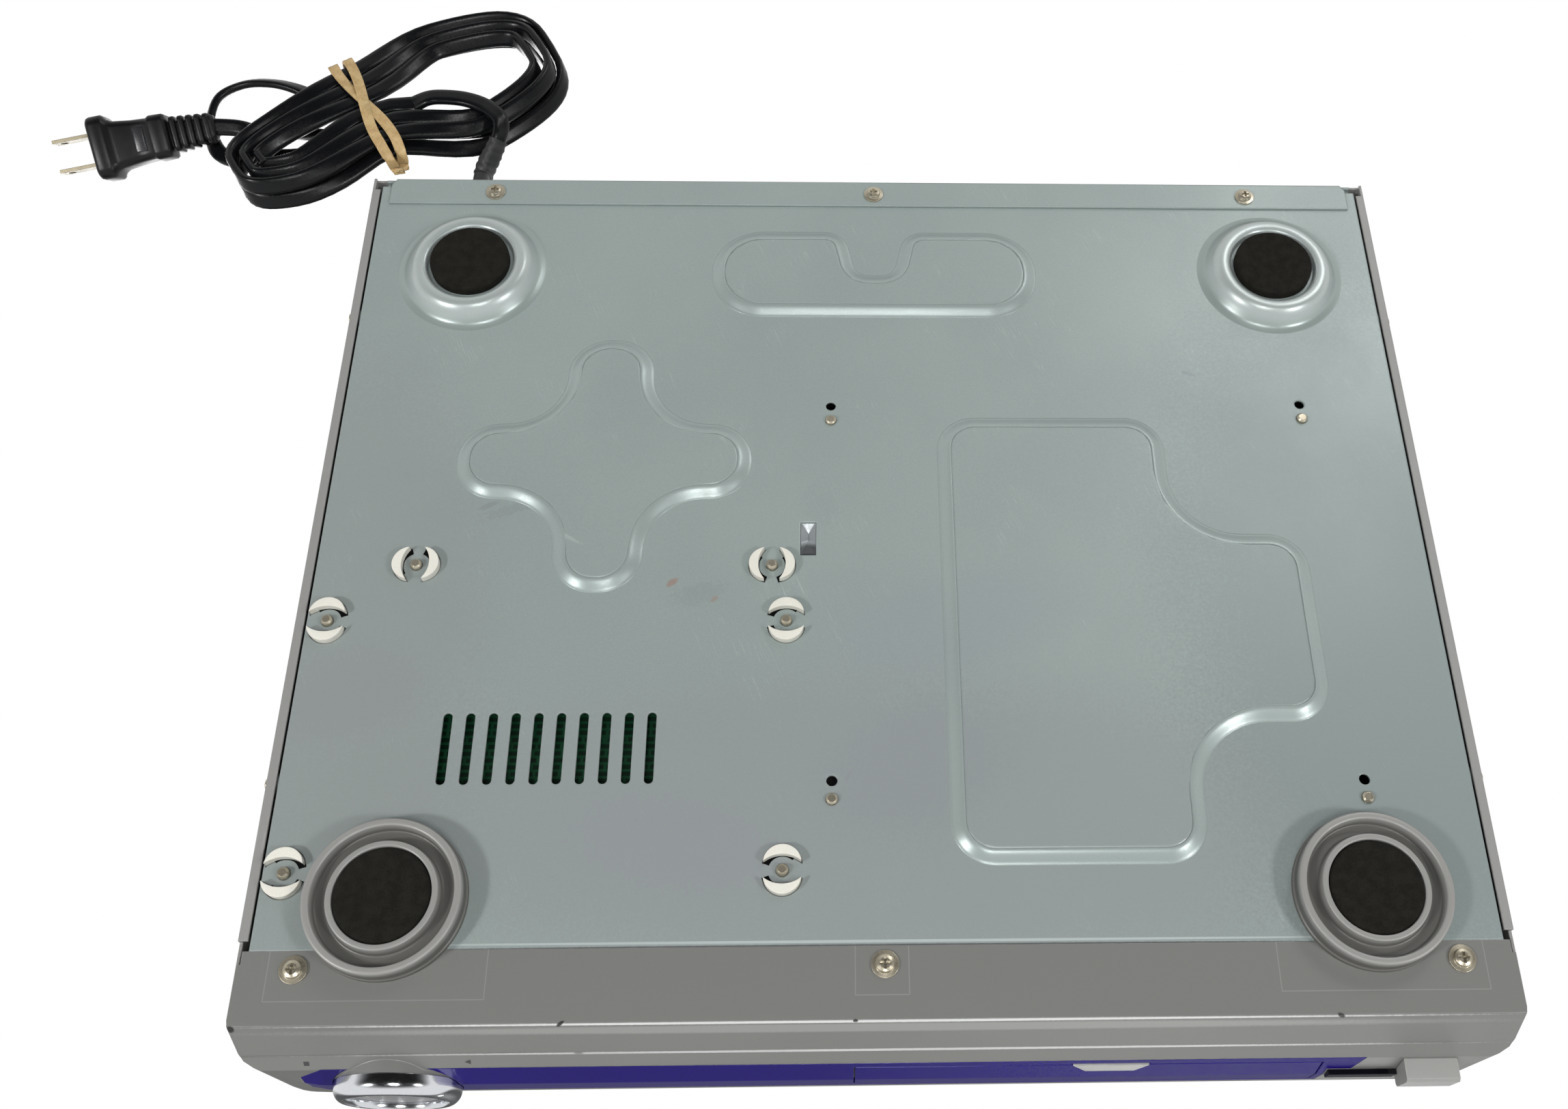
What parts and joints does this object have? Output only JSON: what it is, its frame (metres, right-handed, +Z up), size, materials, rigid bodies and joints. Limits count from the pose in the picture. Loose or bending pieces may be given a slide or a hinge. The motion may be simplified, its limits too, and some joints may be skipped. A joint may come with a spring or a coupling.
{
  "type": "dvd player",
  "caption": "Low rectangular disc player with sliding tray, tinted front band, chrome control ring, four round feet and a banded flat power cord.",
  "frame": {"origin": "centre of the player's bounding box without its cord, at the plane that the four foot pads rest on", "axes": "+X to the right seen from the front, +Y from the fascia to the rear panel, +Z up"},
  "size_m": [0.5765, 0.4743, 0.0701],
  "materials": {
    "plate_steel": "grey painted steel sheet, half matt",
    "cover_steel": "warm grey painted steel sheet",
    "bezel_plastic": "silver-grey moulded plastic",
    "tinted_plastic": "deep violet-blue tinted clear plastic",
    "sensor_plastic": "nearly black infrared window",
    "button_plastic": "silver painted plastic",
    "ring_chrome": "bright plated ring",
    "disc_plastic": "silver painted plastic",
    "switch_plastic": "black moulded plastic",
    "foot_pads": "dark felt-faced rubber",
    "fasteners": "nickel plated steel",
    "support_nylon": "off-white nylon",
    "circuit_board": "green solder mask",
    "transformer_core": "taped ferrite transformer",
    "capacitor_sleeves": "dark sleeved cans",
    "heat_sink_metal": "extruded aluminium",
    "black_components": "black moulded components",
    "jack_blocks": "black blocks with plated sleeves",
    "loader_plastic": "black moulded plastic",
    "tray_plastic": "dark grey moulded plastic",
    "bridge_steel": "galvanised steel sheet",
    "acetal_white": "natural acetal",
    "spindle_plastic": "black moulded plastic",
    "motor_cans": "plated motor cans",
    "small_pinions": "brass",
    "lens_glass": "coated lens in its holder",
    "rail_steel": "ground steel rods",
    "belt_rubber": "black rubber belt",
    "plug_vinyl": "black moulded vinyl",
    "cord_vinyl": "glossy black vinyl",
    "blade_metal": "nickel plated brass",
    "band_rubber": "tan rubber"
  },
  "bodies": {
    "housing": {"bottom_plate": "plate_steel", "rear_panel": "plate_steel", "top_cover": "cover_steel", "front_bezel": "bezel_plastic", "display_window": "tinted_plastic", "sensor_window": "sensor_plastic", "control_ring": "ring_chrome", "front_foot_left": "bezel_plastic", "front_foot_right": "bezel_plastic", "front_left_pad": "foot_pads", "front_right_pad": "foot_pads", "rear_left_pad": "foot_pads", "rear_right_pad": "foot_pads", "bezel_screws": "fasteners", "rear_screws": "fasteners", "cover_screws": "fasteners", "board_supports": "support_nylon", "chassis_screws": "fasteners", "main_board": "circuit_board", "transformer": "transformer_core", "capacitors": "capacitor_sleeves", "heat_sink": "heat_sink_metal", "board_chips": "black_components", "jack_board": "circuit_board", "rear_jacks": "jack_blocks", "front_board": "circuit_board", "display_module": "black_components", "push_switches": "switch_plastic", "loader_posts": "fasteners", "loader_frame": "loader_plastic", "clamp_bridge": "bridge_steel", "loading_motor": "motor_cans", "loading_belt": "belt_rubber", "cord_gland": "plug_vinyl", "cord_lead": "cord_vinyl", "cord_hank": "cord_vinyl", "cord_tail": "cord_vinyl", "plug_body": "plug_vinyl", "plug_blades": "blade_metal", "rubber_band": "band_rubber"},
    "tray": {"disc_tray": "tray_plastic", "tray_door": "tinted_plastic"},
    "tray_gear": {"tray_gear": "acetal_white"},
    "loading_pulley": {"loading_pulley": "acetal_white"},
    "motor_pulley": {"motor_pulley": "small_pinions"},
    "traverse": {"traverse_frame": "loader_plastic", "spindle_motor": "motor_cans", "sled_rails": "rail_steel", "feed_motor": "motor_cans"},
    "turntable": {"turntable": "spindle_plastic"},
    "sled": {"pickup_sled": "spindle_plastic", "pickup_lens": "lens_glass"},
    "feed_gear": {"feed_gear": "acetal_white"},
    "feed_pinion": {"feed_pinion": "small_pinions"},
    "clamp": {"disc_clamp": "acetal_white"},
    "power_button": {"power_button": "button_plastic"},
    "open_close_button": {"open_close_button": "button_plastic"},
    "control_carrier": {"control_carrier": "switch_plastic"},
    "control_disc": {"control_disc": "disc_plastic"}
  },
  "joints": [
    {"name": "tray_slide", "type": "slide", "parent": "housing", "child": "tray", "axis": [0, -1, 0], "range_m": [0, 0.14]},
    {"name": "tray_gear_spin", "type": "hinge", "parent": "housing", "child": "tray_gear", "pos_m": [-0.0375, -0.15, 0.0335], "axis": [0, 0, 1], "range_deg": [-672, 5]},
    {"name": "loading_pulley_spin", "type": "hinge", "parent": "housing", "child": "loading_pulley", "pos_m": [-0.0545, -0.15, 0.0285], "axis": [0, 0, 1], "range_deg": [-5, 1610]},
    {"name": "motor_pulley_spin", "type": "hinge", "parent": "housing", "child": "motor_pulley", "pos_m": [-0.085, -0.152, 0.0285], "axis": [0, 0, 1], "range_deg": [-5, 5400]},
    {"name": "traverse_tilt", "type": "hinge", "parent": "housing", "child": "traverse", "pos_m": [-0.077, -0.01, 0.028], "axis": [1, 0, 0], "range_deg": [0, 4.1]},
    {"name": "spindle_spin", "type": "hinge", "parent": "traverse", "child": "turntable", "pos_m": [-0.077, -0.113, 0.0385], "axis": [0, 0, 1], "continuous": true},
    {"name": "sled_slide", "type": "slide", "parent": "traverse", "child": "sled", "axis": [0, 1, 0], "range_m": [0, 0.034]},
    {"name": "feed_gear_spin", "type": "hinge", "parent": "traverse", "child": "feed_gear", "pos_m": [-0.0432, -0.082, 0.031], "axis": [0, 0, 1], "range_deg": [-246, 4]},
    {"name": "feed_pinion_spin", "type": "hinge", "parent": "traverse", "child": "feed_pinion", "pos_m": [-0.0432, -0.07, 0.031], "axis": [0, 0, 1], "range_deg": [-4, 490]},
    {"name": "clamp_spin", "type": "hinge", "parent": "housing", "child": "clamp", "pos_m": [-0.077, -0.113, 0.0485], "axis": [0, 0, 1], "continuous": true},
    {"name": "power_press", "type": "slide", "parent": "housing", "child": "power_button", "axis": [0, 1, 0], "range_m": [0, 0.0012], "stiffness_N_per_m": 300},
    {"name": "open_close_press", "type": "slide", "parent": "housing", "child": "open_close_button", "axis": [0, 1, 0], "range_m": [0, 0.0012], "stiffness_N_per_m": 300},
    {"name": "control_up_down", "type": "hinge", "parent": "housing", "child": "control_carrier", "pos_m": [0.166, -0.1865, 0.043], "axis": [1, 0, 0], "range_deg": [-2.5, 2.5], "stiffness_Nm_per_rad": 0.3},
    {"name": "control_left_right", "type": "hinge", "parent": "control_carrier", "child": "control_disc", "pos_m": [0.166, -0.1865, 0.043], "axis": [0, 0, 1], "range_deg": [-2.5, 2.5], "stiffness_Nm_per_rad": 0.3}
  ],
  "couplings": [
    {"joint": "tray_gear_spin", "follows": "tray_slide", "rad_per_m": -83.333},
    {"joint": "loading_pulley_spin", "follows": "tray_slide", "rad_per_m": 200},
    {"joint": "motor_pulley_spin", "follows": "tray_slide", "rad_per_m": 670.97},
    {"joint": "traverse_tilt", "follows": "tray_slide", "rad_per_m": 0.5},
    {"joint": "feed_gear_spin", "follows": "sled_slide", "rad_per_m": -125},
    {"joint": "feed_pinion_spin", "follows": "sled_slide", "rad_per_m": 250},
    {"joint": "clamp_spin", "follows": "spindle_spin", "ratio": 1}
  ]
}
